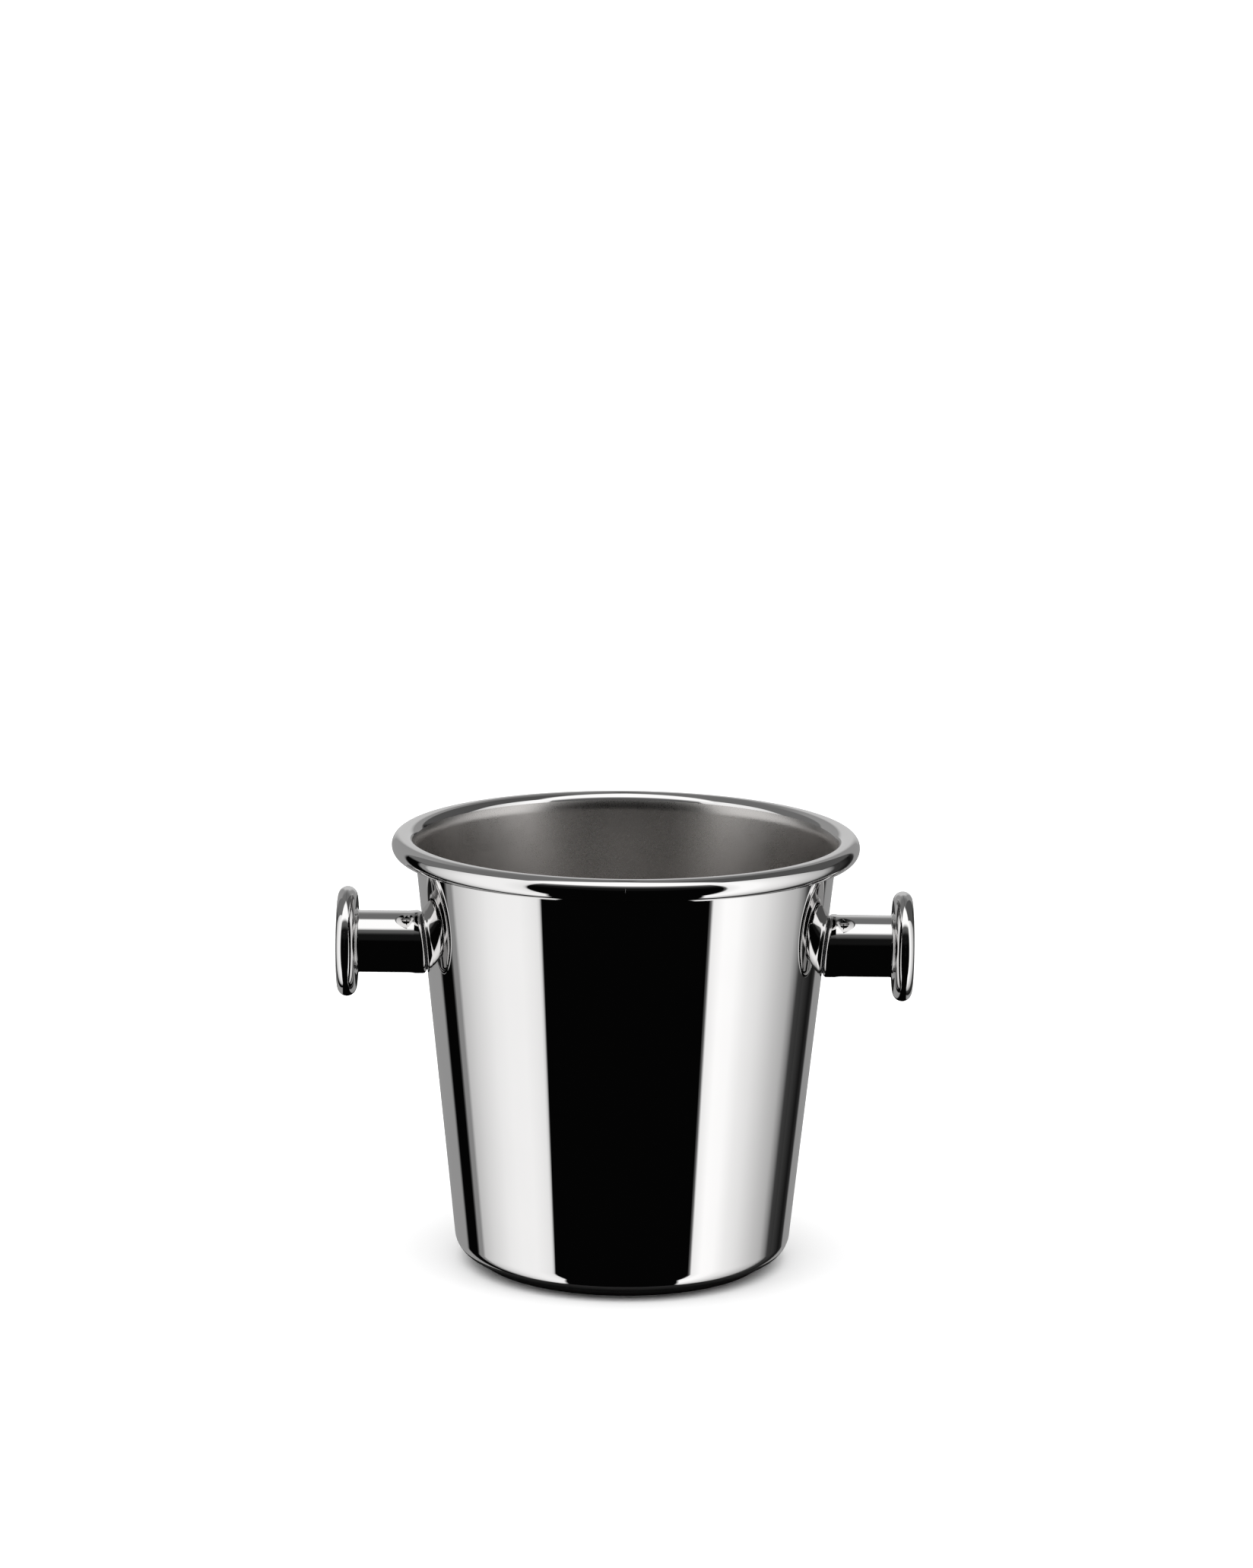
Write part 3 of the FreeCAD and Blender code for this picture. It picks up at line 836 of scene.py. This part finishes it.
class BUCKET_OT_stage(Operator):
    """Build the pale floor, the studio light and the camera"""

    bl_idname = "bucket.stage"
    bl_label = "Stage"

    def execute(self, context):
        scene = context.scene
        stage = scene.bucket_stage
        floor_reach = stage.floor_size * math.sqrt(0.5)
        floor = level_sheet("floor", 4, floor_reach, 0.0, paper("floor_paper", stage.floor_colour))
        floor.visible_glossy = False
        # painted shade: a dark sheet round the foot that stands in for the floor's contact shadow, seen only
        # in the polished steel's reflections
        shade_radius = ring_box[1].x + stage.painted_foot_shade
        shaded = level_sheet("painted_foot_shade", 96, shade_radius, PAINTED_SHADE_LIFT, paper("shade_paper", PAINTED_SHADE_TINT))
        for ray in ("camera", "diffuse", "transmission", "shadow"):
            setattr(shaded, f"visible_{ray}", False)
        world_light(scene)
        wash = bpy.data.lights.new("wash", "SUN")
        wash.angle = WASH_ANGLE
        wash.energy = stage.wash
        lamp = bpy.data.objects.new("wash", wash)
        lamp.location = (0.0, 0.0, WASH_HEIGHT)
        lamp.visible_glossy = False
        lamp.visible_camera = False
        scene.collection.objects.link(lamp)
        data = bpy.data.cameras.new("camera")
        data.lens = stage.lens
        data.sensor_width = SENSOR_WIDTH
        data.sensor_fit = "AUTO"
        data.clip_end = CLIP_END
        camera = bpy.data.objects.new("camera", data)
        back = stage.distance * math.cos(stage.elevation)
        rise = stage.distance * math.sin(stage.elevation)
        look = Matrix.Rotation(math.pi / 2 - stage.pitch, 4, "X") @ Matrix.Rotation(stage.roll, 4, "Z")
        camera.matrix_world = Matrix.Translation((0.0, -back, stage.aim_height + rise)) @ look
        scene.collection.objects.link(camera)
        scene.camera = camera
        scene.view_settings.view_transform = "Standard"
        return {"FINISHED"}


STEPS = [
    BUCKET_OT_vessel,
    BUCKET_OT_base_ring,
    BUCKET_OT_barrels,
    BUCKET_OT_discs,
    BUCKET_OT_fixings,
    BUCKET_OT_stage,
]


class BUCKET_PT_sidebar(Panel):
    """Every step of the bucket's build"""

    bl_label = "Champagne Bucket"
    bl_idname = "BUCKET_PT_sidebar"
    bl_space_type = "VIEW_3D"
    bl_region_type = "UI"
    bl_category = "Bucket"

    def draw(self, context):
        for group in GROUPS:
            settings = getattr(context.scene, group)
            for name in settings.__annotations__:
                self.layout.prop(settings, name)
        for step in STEPS:
            self.layout.operator(step.bl_idname)


GROUPS = {
    "bucket_vessel": BucketVesselSizes,
    "bucket_handle": BucketHandleSizes,
    "bucket_finish": BucketFinish,
    "bucket_stage": BucketStage,
}
CLASSES = [*GROUPS.values(), *STEPS, BUCKET_PT_sidebar]


def register():
    for item in CLASSES:
        bpy.utils.register_class(item)
    for name, group in GROUPS.items():
        setattr(bpy.types.Scene, name, PointerProperty(type=group))


def unregister():
    for name in GROUPS:
        delattr(bpy.types.Scene, name)
    for item in reversed(CLASSES):
        bpy.utils.unregister_class(item)


def main():
    register()
    for step in STEPS:
        category, name = step.bl_idname.split(".")
        getattr(getattr(bpy.ops, category), name)()


if __name__ == "__main__":
    main()
